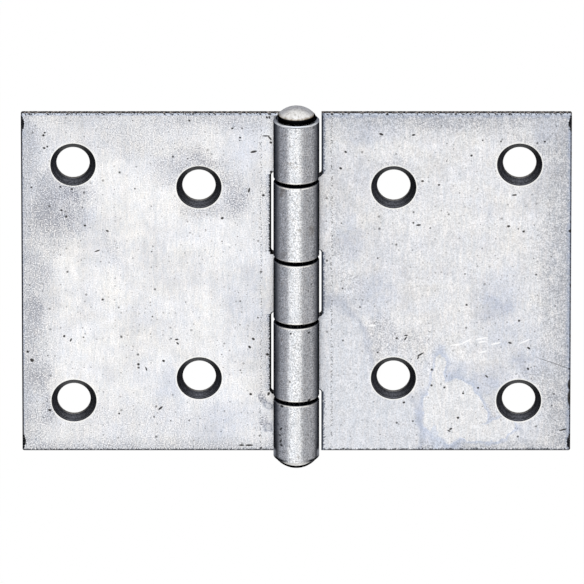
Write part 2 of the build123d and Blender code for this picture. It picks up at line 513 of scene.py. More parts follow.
    face = add(tree, "MixRGB", {"Fac": dull, "Color1": face, "Color2": linear(DULL_GREY)})
    face = add(tree, "MixRGB", {"Fac": rim, "Color1": face, "Color2": linear(RIM_BLUE)})

    # Dried spills: a pale field with a crisp edge and a blue rim outside it
    spill_wander = add(
        tree,
        "VectorMath",
        {0: wander_by, 1: (SPILL_WANDERS, 0.0, SPILL_WANDERS), 2: mm},
        operation="MULTIPLY_ADD",
    )
    for colour, rim_colour, rim_strength, rim_reach, rows in marks["spills"]:
        spill = 9.0
        for x, z, half_width, half_height in rows:
            reach = nearness(x, z, half_width, half_height, 0, spill_wander)
            spill = add(tree, "Math", {0: spill, 1: reach}, operation="MINIMUM")
        spill_rim = add(
            tree,
            "MapRange",
            {"Value": spill, "From Min": rim_reach, "From Max": 1.0, "To Max": rim_strength},
        )
        spill_rim = add(tree, "Math", {0: spill_rim, 1: front}, operation="MULTIPLY")
        inside = add(tree, "MapRange", {"Value": spill, "From Min": 1.05, "From Max": 0.95, "To Max": 0.7})
        inside = add(tree, "Math", {0: inside, 1: front}, operation="MULTIPLY")
        face = add(tree, "MixRGB", {"Fac": spill_rim, "Color1": face, "Color2": linear(rim_colour)})
        face = add(tree, "MixRGB", {"Fac": inside, "Color1": face, "Color2": linear(colour)})

    # Knuckles: cooler on the left, with a painted highlight on the edges of each end and a lip above each
    # lower
    #     # end, and brown grime in patches by the seams
    knuckle_side = add(tree, "MapRange", {"Value": place.outputs["X"], "From Min": -3.0, "From Max": 0.5})
    knuckle_colour = add(
        tree,
        "MixRGB",
        {"Fac": knuckle_side, "Color1": linear(KNUCKLE_COOL), "Color2": linear(KNUCKLE_WHITE)},
    )
    face = add(tree, "MixRGB", {"Fac": knuckle, "Color1": face, "Color2": knuckle_colour})
    end_highlight = add(
        tree, "MapRange", {"Value": facing.outputs["Z"], "From Min": 0.45, "From Max": 0.6}
    )
    for lower_end in KNUCKLE_LOWER_ENDS:
        highlight_lip_level = lower_end + HIGHLIGHT_LIP_ABOVE_END
        highlight_lip = add(tree, "Math", {0: place.outputs["Z"], 1: highlight_lip_level, 2: HIGHLIGHT_LIP_HALF}, operation="COMPARE")
        end_highlight = add(tree, "Math", {0: end_highlight, 1: highlight_lip}, operation="MAXIMUM")
    highlight_broken = add(tree, "MapRange", {"Value": mottle, "From Min": 0.35, "From Max": 0.52, "To Min": 0.35})
    end_highlight = add(tree, "Math", {0: end_highlight, 1: highlight_broken}, operation="MULTIPLY")
    end_highlight = add(tree, "Math", {0: end_highlight, 1: knuckle}, operation="MULTIPLY")
    grime = add(
        tree,
        "MapRange",
        {"Value": blotch, "From Min": 0.60, "From Max": 0.72, "To Max": 0.5},
        interpolation_type="SMOOTHSTEP",
    )
    grime = add(tree, "Math", {0: grime, 1: patches(marks["grime"])}, operation="MAXIMUM")
    grime = add(tree, "Math", {0: grime, 1: knuckle}, operation="MULTIPLY")
    face = add(tree, "MixRGB", {"Fac": grime, "Color1": face, "Color2": linear(SMUDGE_BROWN)})

    # Grain and speckle shade the face, and more strongly the knuckles, which the belt only brushes. The grain
    # also tints it a little, warm against cool.
    shade = 1.0
    for field, leaf_low, leaf_high, knuckle_low, knuckle_high in (
        (streak, 0.96, 1.04, 0.92, 1.06),
        (blotch, 0.94, 1.05, 0.90, 1.08),
        (grain, 0.92, 1.07, 0.90, 1.08),
        (mottle, 0.81, 1.16, 0.57, 1.32),
    ):
        low = add(tree, "MapRange", {"Value": knuckle, "To Min": leaf_low, "To Max": knuckle_low})
        high = add(tree, "MapRange", {"Value": knuckle, "To Min": leaf_high, "To Max": knuckle_high})
        part = add(tree, "MapRange", {"Value": field, **MOST_NOISE, "To Min": low, "To Max": high})
        shade = add(tree, "Math", {0: shade, 1: part}, operation="MULTIPLY")
    warm_shade = add(tree, "MapRange", {"Value": grain, "To Min": 0.94, "To Max": 1.06})
    warm_shade = add(tree, "Math", {0: shade, 1: warm_shade}, operation="MULTIPLY")
    cool_shade = add(tree, "MapRange", {"Value": grain, "To Min": 1.06, "To Max": 0.94})
    cool_shade = add(tree, "Math", {0: shade, 1: cool_shade}, operation="MULTIPLY")
    shade_tone = add(tree, "CombineColor", {"Red": warm_shade, "Green": shade, "Blue": cool_shade})
    face = add(tree, "MixRGB", {"Fac": 1.0, "Color1": face, "Color2": shade_tone}, blend_type="MULTIPLY")
    # Painted highlight on the knuckles' end chamfers and lips
    face = add(tree, "MixRGB", {"Fac": end_highlight, "Color1": face, "Color2": linear(KNUCKLE_EDGE_HIGHLIGHT)})

    # Broken edges: a painted blue highlight at the top, painted shade below, each leaf's own tone at its
    # outer
    #     # edges and painted shade in its notches, all with black marks where the shears have torn them
    edge = add(tree, "MapRange", {"Value": facing.outputs["Y"], "From Min": 0.95, "From Max": 0.85})
    edge = add(tree, "Math", {0: edge, 1: off_knuckle}, operation="MULTIPLY")
    outer = add(tree, "Math", {0: outer_gap, 1: 10.0}, operation="LESS_THAN")
    edge_colour = add(
        tree,
        "MixRGB",
        {"Fac": outer, "Color1": linear(marks["notch_edge"]), "Color2": linear(marks["outer_edge"])},
    )
    # Painted highlight on the top edges and painted shade on the bottom ones
    for gap, tone in ((top_gap, TOP_EDGE_HIGHLIGHT_BLUE), (bottom_gap, BOTTOM_EDGE_SHADE_GREY)):
        at_end = add(tree, "Math", {0: gap, 1: 0.4}, operation="LESS_THAN")
        edge_colour = add(
            tree, "MixRGB", {"Fac": at_end, "Color1": edge_colour, "Color2": linear(tone)}
        )
    broken = add(
        tree,
        "MapRange",
        {"Value": mottle, "From Min": 0.50, "From Max": 0.64, "To Max": 0.7},
        interpolation_type="SMOOTHSTEP",
    )
    shear_place = add(
        tree, "Math", {0: pattern_parts.outputs["X"], 1: pattern_parts.outputs["Z"]}, operation="ADD"
    )
    shear_place = add(tree, "Math", {0: shear_place, 1: SHEAR_MARK}, operation="DIVIDE")
    shear_lines = add(
        tree,
        "TexNoise",
        {"W": shear_place, "Scale": 1.0, "Detail": 3.0, "Roughness": 0.7},
        noise_dimensions="1D",
    )
    worn = add(tree, "Math", {0: mottle, 1: shear_lines}, operation="ADD")
    edge_broken = add(
        tree,
        "MapRange",
        {"Value": worn, "From Min": 1.0, "From Max": 1.12, "To Max": 0.95},
        interpolation_type="SMOOTHSTEP",
    )
    edge_colour = add(
        tree, "MixRGB", {"Fac": edge_broken, "Color1": edge_colour, "Color2": linear(SCALE_BLACK)}
    )
    face = add(tree, "MixRGB", {"Fac": edge, "Color1": face, "Color2": edge_colour})
    ragged = add(tree, "Math", {0: mottle, 1: 1.0, 2: -0.5}, operation="MULTIPLY_ADD")
    # Painted shade: a dark line along the bottom edge and, beside the knuckles, in the notches
    for gap, reach, tone in (
        (bottom_gap, 0.38, BOTTOM_EDGE_SHADE_GREY),
        (notch_gap, marks["notch_shade_line"], marks["notch_edge"]),
    ):
        gap = add(tree, "Math", {0: gap, 1: ragged}, operation="ADD")
        line = add(
            tree,
            "MapRange",
            {"Value": gap, "From Min": reach + 0.05, "From Max": reach - 0.08, "To Max": 0.9},
        )
        line = add(tree, "Math", {0: line, 1: off_knuckle}, operation="MULTIPLY")
        face = add(tree, "MixRGB", {"Fac": line, "Color1": face, "Color2": linear(tone)})

    # Dents beside the outer corners, where the scale was pressed in, painted dark with scale and painted
    # shade
    scale_colour = add(
        tree, "MixRGB", {"Fac": broken, "Color1": linear(SCALE_BLACK), "Color2": linear(SCALE_GREY)}
    )
    dent_reach = nearness(LEAF_REACH, DENT_FROM_MIDDLE, DENT_HALF_WIDTH, DENT_HALF_LENGTH, 0, apart)
    dent_reach = add(tree, "Math", {0: dent_reach, 1: ragged}, operation="ADD")
    dent_shade = add(tree, "MapRange", {"Value": dent_reach, "From Min": 1.05, "From Max": 0.85})
    face = add(tree, "MixRGB", {"Fac": dent_shade, "Color1": face, "Color2": scale_colour})

    # Pits: many faint ones about 0.3 mm wide, and a few black ones about 0.4 mm wide
    pits = 0.0
    for spacing, share, radius, strength in ((1.0, 0.6, 0.20, 0.5), (2.9, marks["pit_share"], 0.28, 1.0)):
        cells = add(
            tree, "TexVoronoi", {"Vector": face_plane, "Scale": 1 / spacing}, voronoi_dimensions="2D"
        )
        chance = add(tree, "SeparateColor", {0: cells.outputs["Color"]})
        size = add(
            tree,
            "MapRange",
            {"Value": chance.outputs["Red"], "From Min": 1 - share, "To Max": radius / spacing},
        )
        depth = add(
            tree,
            "MapRange",
            {"Value": chance.outputs["Green"], "To Min": 0.4 * strength, "To Max": strength},
        )
        floor_size = add(tree, "Math", {0: size, 1: 0.5}, operation="MULTIPLY")
        pit = add(
            tree,
            "MapRange",
            {"Value": cells.outputs["Distance"], "From Min": size, "From Max": floor_size, "To Max": depth},
        )
        pits = add(tree, "Math", {0: pits, 1: pit}, operation="MAXIMUM")

    # The row of faint nicks that the rolling tool left beside the knuckles
    wavy = add(tree, "Math", {0: blotch, 1: 0.5}, operation="SUBTRACT")
    line_gap = add(tree, "Math", {0: wavy, 1: 0.6, 2: span.outputs["X"]}, operation="MULTIPLY_ADD")
    line_gap = add(tree, "Math", {0: line_gap, 1: TOOL_LINE_FROM_AXIS}, operation="SUBTRACT")
    line_gap = add(tree, "Math", {0: line_gap}, operation="ABSOLUTE")
    line = add(tree, "MapRange", {"Value": line_gap, "From Min": 0.22, "From Max": 0.08, "To Max": 0.7})
    dots = add(
        tree,
        "MapRange",
        {"Value": mottle, "From Min": 0.47, "From Max": 0.38},
        interpolation_type="SMOOTHSTEP",
    )
    line = add(tree, "Math", {0: line, 1: dots}, operation="MULTIPLY")
    pits = add(tree, "Math", {0: pits, 1: line}, operation="MAXIMUM")
    pits = add(tree, "Math", {0: pits, 1: strokes(marks["nicks"], 0.95)}, operation="MAXIMUM")
    face = add(tree, "MixRGB", {"Fac": pits, "Color1": face, "Color2": linear(PIT_BLACK)})
    rubbed = strokes(marks["rubbed"], 0.8)
    face = add(tree, "MixRGB", {"Fac": rubbed, "Color1": face, "Color2": linear(RUBBED_WHITE)})

    # Scale that the belt left: worn brown in streaks on sheared edges; grey scale and painted shade on the
    #     # flanks; navy painted shade on the ends, in the seams and under the pin's head
    side_on = add(tree, "Math", {0: facing.outputs["X"], 1: off_knuckle}, operation="MULTIPLY")
    sheared = add(tree, "Math", {0: facing.outputs["Z"], 1: side_on}, operation="MAXIMUM")
    sheared = add(tree, "Math", {0: sheared, 1: 0.85}, operation="GREATER_THAN")
    shear_worn = add(
        tree, "MapRange", {"Value": shear_lines, "From Min": 0.44, "From Max": 0.64, "To Min": 0.05}
    )
    sheared = add(tree, "Math", {0: sheared, 1: shear_worn}, operation="MULTIPLY")
    scale_colour = add(
        tree, "MixRGB", {"Fac": sheared, "Color1": scale_colour, "Color2": linear(SCALE_BROWN)}
    )
    # Painted shade: the knuckles' flanks take grey to dark colours for the dark reflections at the barrel's
    # sides
    flank_scale_and_shade = add(
        tree, "MixRGB", {"Fac": broken, "Color1": linear(FLANK_SHADE_GREY), "Color2": linear(FLANK_SHADE_DARK)}
    )
    scale_colour = add(
        tree, "MixRGB", {"Fac": knuckle, "Color1": scale_colour, "Color2": flank_scale_and_shade}
    )
    colour = add(tree, "MixRGB", {"Fac": bare, "Color1": scale_colour, "Color2": face})
    # Painted shade: end faces and the inner chamfers go dark navy, for the seams between knuckles and under
    # the pin's head
    sloped = add(tree, "Math", {0: facing.outputs["Z"], 1: 0.5}, operation="GREATER_THAN")
    sloped = add(tree, "Math", {0: sloped, 1: knuckle}, operation="MULTIPLY")
    end_shade = add(tree, "MapRange", {"Value": from_axis, "From Min": END_SHADE_REACH[0], "From Max": END_SHADE_REACH[1]})
    end_shade = add(tree, "Math", {0: end_shade, 1: sloped}, operation="MULTIPLY")
    colour = add(tree, "MixRGB", {"Fac": end_shade, "Color1": colour, "Color2": linear(END_SHADE_NAVY)})

    # Top end: a painted highlight ring, widest at the front, with a dark grey painted shade line outside it
    # there
    near_top = LEAF_HALF_HEIGHT - 0.3
    top_end = add(tree, "Math", {0: place.outputs["Z"], 1: near_top}, operation="GREATER_THAN")
    top_end = add(tree, "Math", {0: top_end, 1: sloped}, operation="MULTIPLY")
    ring_reach = add(tree, "VectorMath", {0: across, 1: RING_CENTRE}, operation="DISTANCE")
    flank = add(tree, "MapRange", {"Value": span.outputs["X"], "From Min": FLANK[0], "From Max": FLANK[1]})
    ring_fade = add(tree, "MapRange", {"Value": flank, "To Min": 1.0, "To Max": RING_AT_FLANK})
    ring_fade = add(tree, "Math", {0: ring_fade, 1: top_end}, operation="MULTIPLY")
    bare_worn_or_highlit = add(tree, "Math", {0: bare, 1: sheared}, operation="MAXIMUM")
    for start, full, tone in TOP_RINGS_OF_LIGHT_AND_SHADE:
        ring = add(tree, "MapRange", {"Value": ring_reach, "From Min": start, "From Max": full})
        ring = add(tree, "Math", {0: ring, 1: ring_fade}, operation="MULTIPLY")
        bare_worn_or_highlit = add(tree, "Math", {0: bare_worn_or_highlit, 1: ring}, operation="MAXIMUM")
        colour = add(tree, "MixRGB", {"Fac": ring, "Color1": colour, "Color2": linear(tone)})

    # Bottom end: black painted shade rings it towards the flanks
    low_shade = add(
        tree,
        "MapRange",
        {"Value": place.outputs["Z"], "From Min": LOW_SHADE_LEVELS[0], "From Max": LOW_SHADE_LEVELS[1]},
    )
    low_shade = add(tree, "Math", {0: low_shade, 1: knuckle}, operation="MULTIPLY")
    low_shade = add(tree, "Math", {0: low_shade, 1: flank}, operation="MULTIPLY")
    colour = add(tree, "MixRGB", {"Fac": low_shade, "Color1": colour, "Color2": linear(SCALE_BLACK)})

    # Countersinks: dark scale with the cutter's rings in it, lighter where it faces up and left and darker
    # where
    #     # it faces down and right as painted light and shade, inside a thin painted highlight on the burr
    on_face = add(tree, "VectorMath", {0: apart, 1: (1, 0, 1)}, operation="MULTIPLY")
    from_hole = 99.0
    for hole_place in screw_hole_places():
        gap = add(tree, "VectorMath", {0: on_face, 1: hole_place}, operation="DISTANCE")
        from_hole = add(tree, "Math", {0: from_hole, 1: gap}, operation="MINIMUM")
    near_back = KNUCKLE_RADIUS - 0.05
    ahead_of_back = add(tree, "Math", {0: place.outputs["Y"], 1: near_back}, operation="LESS_THAN")
    from_seat = add(tree, "Math", {0: from_hole, 1: COUNTERSINK_RADIUS}, operation="SUBTRACT")
    burr_highlight = add(tree, "MapRange", {"Value": from_seat, "From Min": 0.3, "From Max": 0.05, "To Max": 0.8})
    burr_highlight = add(tree, "Math", {0: burr_highlight, 1: front}, operation="MULTIPLY")
    seat = add(tree, "MapRange", {"Value": from_seat, "From Min": 0.02, "From Max": -0.02})
    seat = add(tree, "Math", {0: seat, 1: ahead_of_back}, operation="MULTIPLY")
    ring_place = add(tree, "Math", {0: from_hole, 1: CUTTER_RING}, operation="DIVIDE")
    rings = add(tree, "TexNoise", {"W": ring_place, "Scale": 1.0, "Detail": 1.0}, noise_dimensions="1D")
    ring_shade = add(tree, "MapRange", {"Value": rings, **MOST_NOISE, "To Min": 0.5, "To Max": 1.5})
    seat_mottle = add(tree, "MapRange", {"Value": mottle, **MOST_NOISE, "To Min": 0.5, "To Max": 1.5})
    ring_shade = add(tree, "Math", {0: ring_shade, 1: seat_mottle}, operation="MULTIPLY")
    # Painted light and shade: lighter where the seat faces up and left
    seat_facing = add(
        tree, "VectorMath", {0: coords.outputs["Normal"], 1: (0.35, 0.0, 0.75)}, operation="DOT_PRODUCT"
    )
    seat_light_and_shade = add(
        tree,
        "MapRange",
        {"Value": seat_facing, "From Min": -0.55, "From Max": 0.55, "To Min": 0.4, "To Max": 1.3},
    )
    ring_shade = add(tree, "Math", {0: ring_shade, 1: seat_light_and_shade}, operation="MULTIPLY")
    ring_grey = add(tree, "CombineColor", {"Red": ring_shade, "Green": ring_shade, "Blue": ring_shade})
    seat_colour = add(
        tree,
        "MixRGB",
        {"Fac": 1.0, "Color1": linear(SEAT_BLACK), "Color2": ring_grey},
        blend_type="MULTIPLY",
    )
    wall = add(tree, "Math", {0: from_hole, 1: SCREW_HOLE_RADIUS + 0.02}, operation="LESS_THAN")
    seat_colour = add(
        tree, "MixRGB", {"Fac": wall, "Color1": seat_colour, "Color2": linear(HOLE_WALL_GREY)}
    )
    colour = add(tree, "MixRGB", {"Fac": burr_highlight, "Color1": colour, "Color2": linear(BURR_HIGHLIGHT_WHITE)})
    colour = add(tree, "MixRGB", {"Fac": seat, "Color1": colour, "Color2": seat_colour})

    # Roughness and relief
    rough_face = add(tree, "MapRange", {"Value": cloudy, "To Min": FACE_ROUGH, "To Max": CLOUD_ROUGH})
    rough_bare = add(tree, "MapRange", {"Value": knuckle, "To Min": rough_face, "To Max": KNUCKLE_ROUGH})
    rough_scale = add(tree, "MapRange", {"Value": knuckle, "To Min": SCALE_ROUGH, "To Max": FLANK_ROUGH})
    rough = add(tree, "MapRange", {"Value": bare, "To Min": rough_scale, "To Max": rough_bare})
    relief = add(tree, "Math", {0: grain, 1: mottle}, operation="ADD")
    bump = add(tree, "Bump", {"Height": relief, "Strength": 0.25, "Distance": RELIEF_DEPTH})
    sheen = add(
        tree, "MixRGB", {"Fac": bare_worn_or_highlit, "Color1": linear(SCALE_SHEEN), "Color2": linear(RUBBED_WHITE)}
    )
    shader = add(
        tree,
        "BsdfPrincipled",
        {
            "Base Color": colour,
            "Metallic": 1.0,
            "Roughness": rough,
            "Specular Tint": sheen,
            "Normal": bump,
        },
    )
    tree.links.new(shader.outputs[0], output.inputs["Surface"])
    return material


def merged_copy(node_name, piece_name):
    """A piece with a solid's form: its triangles merged to one skin, its curves shaded smooth."""
    bpy.ops.object.select_all(action="DESELECT")
    solid = frame["nodes"][node_name]
    solid.select_set(True)
    bpy.context.view_layer.objects.active = solid
    bpy.ops.object.duplicate()
    piece = bpy.context.object
    piece.name = piece_name
    piece.parent = None
    del piece["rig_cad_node"]
    bpy.ops.object.mode_set(mode="EDIT")
    bpy.ops.mesh.select_all(action="SELECT")
    bpy.ops.mesh.remove_doubles(threshold=1e-7)
    bpy.ops.mesh.customdata_custom_splitnormals_clear()
    bpy.ops.object.mode_set(mode="OBJECT")
    bpy.ops.object.shade_smooth_by_angle(angle=math.radians(30))
    piece.data.materials.clear()
    return piece


fixed_leaf = merged_copy("fixed_leaf", "fixed_leaf_sheet")
fixed_leaf.data.materials.append(ground_steel("ground_steel_fixed_leaf", 0.0, FIXED_LEAF_MARKS))
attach(fixed_leaf, "fixed_side")
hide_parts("fixed_leaf")

# Swinging leaf
# The right leaf, of the same sheet and finish, with two knuckles that turn on the pin between the others.
# Spills have dried on it below its middle, pale with blue rims, and its outer edge is tarnished blue.
SWINGING_LEAF_MARKS = {
    "haze": 0.12,
    "fleck": 0.6,
    "grime": [
        (-2.2, 18.5, 0.8, 0.45, 0.8),
        (2.75, 18.5, 0.8, 0.45, 0.8),
        (2.3, 11.9, 0.5, 1.3, 0.5),
        (-2.0, 6.9, 1.2, 0.5, 0.5),
    ],
    "clouds": [
        (23.8, 28.7, 18.2, 1.6, 0.5),
        (9.2, -1.3, 3.3, 4.6, 0.3),
        (18.0, -11.1, 6.6, 4.3, 0.35),
        (14.0, -9.0, 3.3, 4.5, 0.45),
        (16.3, 17.2, 4.6, 5.2, 0.45),
        (16.3, -16.0, 4.6, 4.9, 0.4),
        (6.6, 9.4, 1.5, 12.5, 0.3),
        (38.7, 23.7, 5.0, 2.5, 0.4),
        (42.3, 4.1, 2.6, 16.0, 0.25),
        (38.7, -16.4, 3.3, 2.5, 0.4),
        (42.3, -20.9, 2.6, 7.1, 0.3),
        (32.1, -23.0, 1.7, 3.2, 0.35),
    ],
    "tarnish": [
        (12.5, -2.2, 3.0, 3.9, 0.7),
        (33.7, -3.0, 4.0, 4.6, 0.8),
        (35.0, -9.3, 4.3, 3.6, 0.7),
        (32.1, -18.2, 3.0, 3.2, 0.9),
        (38.7, -14.6, 3.6, 3.2, 0.9),
        (8.9, 8.0, 2.3, 4.6, 0.6),
        (12.5, 27.2, 5.0, 2.5, 0.6),
        (41.7, 27.2, 2.3, 3.2, 0.7),
        (25.4, -15.9, 2.3, 2.1, 0.8),
        (38.4, -26.6, 2.6, 2.1, 0.6),
        (20.8, -25.3, 2.6, 2.8, 0.6),
    ],
    "spills": [
        ("#E8E9EC", "#B0B7C7", 0.75, 1.14, [(5.6, -18.0, 7.2, 14.2), (12.0, -27.0, 8.5, 10.0)]),
        (
            "#F3F1EE",
            "#BEC7DA",
            0.85,
            1.4,
            [
                (25.8, -22.9, 4.7, 5.3),
                (23.4, -17.0, 1.4, 4.6),
                (29.2, -22.8, 2.3, 3.0),
                (33.3, -26.0, 3.4, 1.7),
                (29.6, -26.6, 3.2, 1.6),
            ],
        ),
        ("#D6DCE8", "#C4CCDD", 0.0, 1.4, [(23.3, -27.6, 0.8, 2.2)]),
    ],
    "nicks": [
        (14.03, 26.39, 0.56, 0.30, -25),
        (19.35, 26.27, 0.43, 0.26, 10),
        (8.14, 23.26, 0.36, 0.28, -30),
        (7.31, 20.36, 0.38, 0.30, -40),
        (20.86, 18.09, 0.36, 0.26, 0),
        (23.57, 17.42, 0.30, 0.25, 0),
        (20.21, 10.29, 0.60, 0.25, 5),
        (41.04, 25.08, 0.28, 0.26, 0),
        (28.92, 22.60, 0.31, 0.28, 0),
        (36.06, 15.62, 0.63, 0.22, 3),
        (37.60, 9.15, 0.33, 0.30, 0),
        (35.10, 10.08, 0.40, 0.30, 0),
        (18.19, -9.35, 0.50, 0.20, 5),
        (18.09, -9.92, 0.60, 0.18, 55),
        (20.56, -12.77, 0.99, 0.22, 32),
        (20.19, -13.34, 0.43, 0.18, 60),
        (24.57, -18.65, 0.30, 0.26, 0),
        (27.68, -19.70, 0.30, 0.25, 0),
        (30.16, -18.72, 0.30, 0.26, 0),
        (26.84, -24.08, 0.33, 0.31, 0),
        (25.64, -26.07, 0.43, 0.25, 30),
        (25.35, -26.43, 0.40, 0.20, -20),
        (17.86, -21.35, 0.36, 0.26, 30),
        (35.41, -10.69, 0.46, 0.25, -15),
        (38.53, -11.63, 0.46, 0.26, -35),
        (38.43, -15.33, 0.36, 0.26, -60),
        (31.57, -16.67, 0.50, 0.20, -45),
        (42.75, -14.35, 4.64, 0.07, -20),
        (44.27, -26.23, 0.99, 0.20, 14),
        (45.40, -18.18, 1.49, 0.60, 90),
        (45.40, -20.50, 2.15, 0.60, 90),
        (45.40, 9.24, 0.41, 0.60, 90),
        (2.10, -18.75, 0.45, 0.30, 40),
    ],
    "rubbed": [
        (26.60, -10.99, 1.66, 0.20, 8),
        (28.18, -10.44, 1.32, 0.22, 28),
        (30.74, -9.90, 1.49, 0.23, 10),
        (30.83, -10.49, 1.16, 0.22, 10),
        (33.06, -10.81, 1.32, 0.23, 12),
        (30.99, -12.29, 0.99, 0.22, 15),
        (12.53, -7.60, 0.99, 0.26, 5),
        (37.86, -10.44, 1.66, 0.20, 25),
    ],
    "outer_border": (7.0, 1.0, 1.1, 1.0),
    "top_border": (5.5, 0.65, 1.1, 0.9),
    "bottom_border": (2.5, 1.0, 0.6, 0.9),
    "pit_share": 0.4,
    "outer_edge": "#8A93A5",
    "notch_edge": "#69707E",
    "notch_shade_line": 0.45,
    "solid_beside_fixed": 0.0,
    "solid_beside_swinging": 1.0,
}

swinging_leaf = merged_copy("swinging_leaf", "swinging_leaf_sheet")
swinging_leaf.data.materials.append(
    ground_steel("ground_steel_swinging_leaf", 137.0, SWINGING_LEAF_MARKS)
)
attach(swinging_leaf, "swinging_side")
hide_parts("swinging_leaf")

# Pin
# Drawn steel wire with a pressed dome at its top, driven through the knuckles and peened to a dome below.
# The fixed leaf's knuckles hold it, and the swinging leaf turns on it.
PIN_WHITE = "#F4F3F1"
PIN_SMUDGE = "#C8C5C1"
PIN_RIM_BROWN = "#A89A86"
PIN_BLACK = "#0E0F11"
BRIM_LEVEL = 30.6
RIM_ABOVE_BRIM = (0.5, 0.3)  # where the brown rim starts and is full
# where the painted shadow under the brim starts and is full
SHADOW_ABOVE_BRIM = (0.29, 0.19)
FOOT_LEVEL = -30.5
FOOT_BOW = 0.09  # rise of the black foot's edge, for each square millimetre from the middle
PIN_MOTTLE = 0.5
PIN_RELIEF_DEPTH = 0.00003  # metres

hinge_pin = merged_copy("hinge_pin", "hinge_pin_wire")

# Pressed steel: a smoother mirror than the leaves, faintly mottled by the die, brown with oil along its brim.
# The neck below the brim and the brim's lowest edge are black as painted shadow under the dome, and the
# peened foot is black along its lower edge.
pin_material, pin_tree, pin_output = new_material("pressed_steel_pin")
pin_coords = add(pin_tree, "TexCoord")
pin_mm = add(pin_tree, "VectorMath", {0: pin_coords.outputs["Object"], "Scale": 1000.0}, operation="SCALE")
pin_place = add(pin_tree, "SeparateXYZ", {0: pin_mm})
pin_mottle = add(
    pin_tree, "TexNoise", {"Vector": pin_mm, "Scale": 1 / PIN_MOTTLE, "Detail": 3.0, "Roughness": 0.65}
)
pin_smudge = add(
    pin_tree,
    "MapRange",
    {"Value": pin_mottle, "From Min": 0.42, "From Max": 0.72},
    interpolation_type="SMOOTHSTEP",
)
pin_colour = add(
    pin_tree, "MixRGB", {"Fac": pin_smudge, "Color1": linear(PIN_WHITE), "Color2": linear(PIN_SMUDGE)}
)
above_brim = add(pin_tree, "Math", {0: pin_place.outputs["Z"], 1: BRIM_LEVEL}, operation="SUBTRACT")
pin_rim = add(
    pin_tree,
    "MapRange",
    {"Value": above_brim, "From Min": RIM_ABOVE_BRIM[0], "From Max": RIM_ABOVE_BRIM[1]},
)
pin_upper = add(pin_tree, "Math", {0: pin_place.outputs["Z"], 1: 0.0}, operation="GREATER_THAN")
pin_rim = add(pin_tree, "Math", {0: pin_rim, 1: pin_upper}, operation="MULTIPLY")
pin_broken = add(
    pin_tree, "MapRange", {"Value": pin_mottle, "From Min": 0.4, "From Max": 0.6, "To Min": 0.4}
)
pin_rim = add(pin_tree, "Math", {0: pin_rim, 1: pin_broken}, operation="MULTIPLY")
pin_colour = add(
    pin_tree, "MixRGB", {"Fac": pin_rim, "Color1": pin_colour, "Color2": linear(PIN_RIM_BROWN)}
)
# Painted shadow under the dome's brim, on the neck and the brim's lowest edge
pin_neck_shadow = add(
    pin_tree,
    "MapRange",
    {"Value": above_brim, "From Min": SHADOW_ABOVE_BRIM[0], "From Max": SHADOW_ABOVE_BRIM[1]},
)
pin_neck_shadow = add(pin_tree, "Math", {0: pin_neck_shadow, 1: pin_upper}, operation="MULTIPLY")
# The foot is painted black along its lower edge, which rises towards the sides
pin_bow = add(
    pin_tree, "Math", {0: pin_place.outputs["X"], 1: pin_place.outputs["X"]}, operation="MULTIPLY"
)
pin_low = add(
    pin_tree, "Math", {0: pin_bow, 1: -FOOT_BOW, 2: pin_place.outputs["Z"]}, operation="MULTIPLY_ADD"
)
pin_foot_black = add(
    pin_tree,
    "MapRange",
    {"Value": pin_low, "From Min": FOOT_LEVEL + 0.05, "From Max": FOOT_LEVEL - 0.05},
)
pin_shadow_and_foot = add(pin_tree, "Math", {0: pin_neck_shadow, 1: pin_foot_black}, operation="MAXIMUM")
pin_colour = add(
    pin_tree, "MixRGB", {"Fac": pin_shadow_and_foot, "Color1": pin_colour, "Color2": linear(PIN_BLACK)}
)
pin_sheen = add(
    pin_tree, "MixRGB", {"Fac": pin_shadow_and_foot, "Color1": linear(RUBBED_WHITE), "Color2": linear(SCALE_SHEEN)}
)
pin_rough = add(pin_tree, "MapRange", {"Value": pin_mottle, "To Min": 0.32, "To Max": 0.46})
pin_bump = add(pin_tree, "Bump", {"Height": pin_mottle, "Strength": 0.2, "Distance": PIN_RELIEF_DEPTH})
pin_shader = add(
    pin_tree,
    "BsdfPrincipled",
    {
        "Base Color": pin_colour,
        "Metallic": 1.0,
        "Roughness": pin_rough,
        "Specular Tint": pin_sheen,
        "Normal": pin_bump,
    },
)
pin_tree.links.new(pin_shader.outputs[0], pin_output.inputs["Surface"])
hinge_pin.data.materials.append(pin_material)
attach(hinge_pin, "fixed_side")
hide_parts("hinge_pin")

# Floor and light
# A white paper floor well below the hinge, which hangs as if held by its fixed leaf, in a white room with a
# soft lamp low in front and one overhead. Grey cards that only the steel sees stand beside and behind it, two
# of them darker where the knuckles' flanks mirror them, to give the barrel and the dome their form.
FLOOR_DROP = 0.60  # lengths here are in metres
FLOOR_HALF = 6.0
CARD_ABOVE_FLOOR = 0.01
PAPER_GLOW = 0.85
PAPER_WHITE = "#FFFFFF"
ROOM_WHITE = "#FFFFFF"

lowest = cad_box[0].z
bpy.ops.object.select_all(action="DESELECT")
bpy.ops.mesh.primitive_plane_add(size=2 * FLOOR_HALF, location=(0, 0, lowest - FLOOR_DROP))
floor = bpy.context.object
floor.name = "floor"

